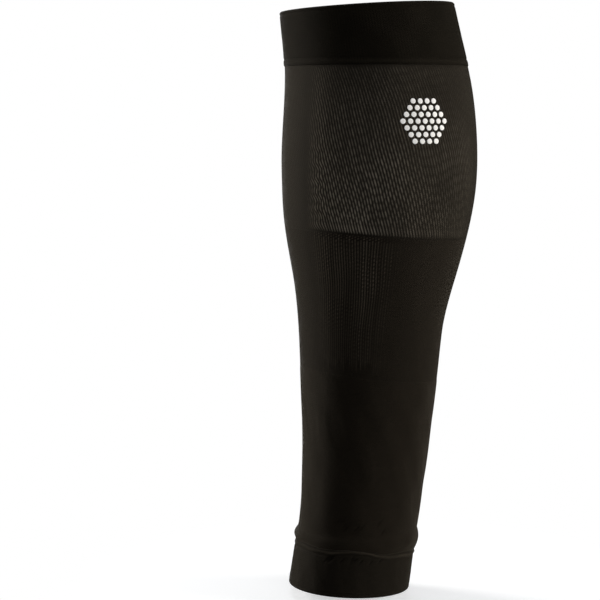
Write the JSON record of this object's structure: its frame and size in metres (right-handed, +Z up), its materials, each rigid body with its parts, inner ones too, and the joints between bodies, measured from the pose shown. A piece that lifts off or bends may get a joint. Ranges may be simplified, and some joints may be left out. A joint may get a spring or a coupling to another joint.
{
  "type": "calf compression sleeve",
  "caption": "Knitted tube for the lower leg, open at both ends, with a doubled band at the knee, a doubled cuff at the ankle and knit zones that change over the calf.",
  "frame": {"origin": "middle of the leg's hollow, at the widest level of the calf", "axes": "+Z up the leg towards the knee, -Y towards the shin, +Y towards the calf muscle, X from side to side"},
  "size_m": [0.111, 0.1148, 0.3441],
  "materials": {
    "welt_knit": "matt, close doubled knit in warm near-black with fine ribs",
    "open_knit": "matt open-textured knit in warm near-black, with slanting raised loops",
    "rib_knit": "matt knit in warm near-black with fine upright ribs",
    "plain_knit": "matt plain fine knit in warm near-black",
    "transfer_print": "matt white heat-transfer print"
  },
  "bodies": {
    "root": {"knee_band": "welt_knit", "calf_panel": "open_knit", "rib_panel": "rib_knit", "ankle_panel": "plain_knit", "ankle_cuff": "welt_knit"}
  },
  "joints": []
}
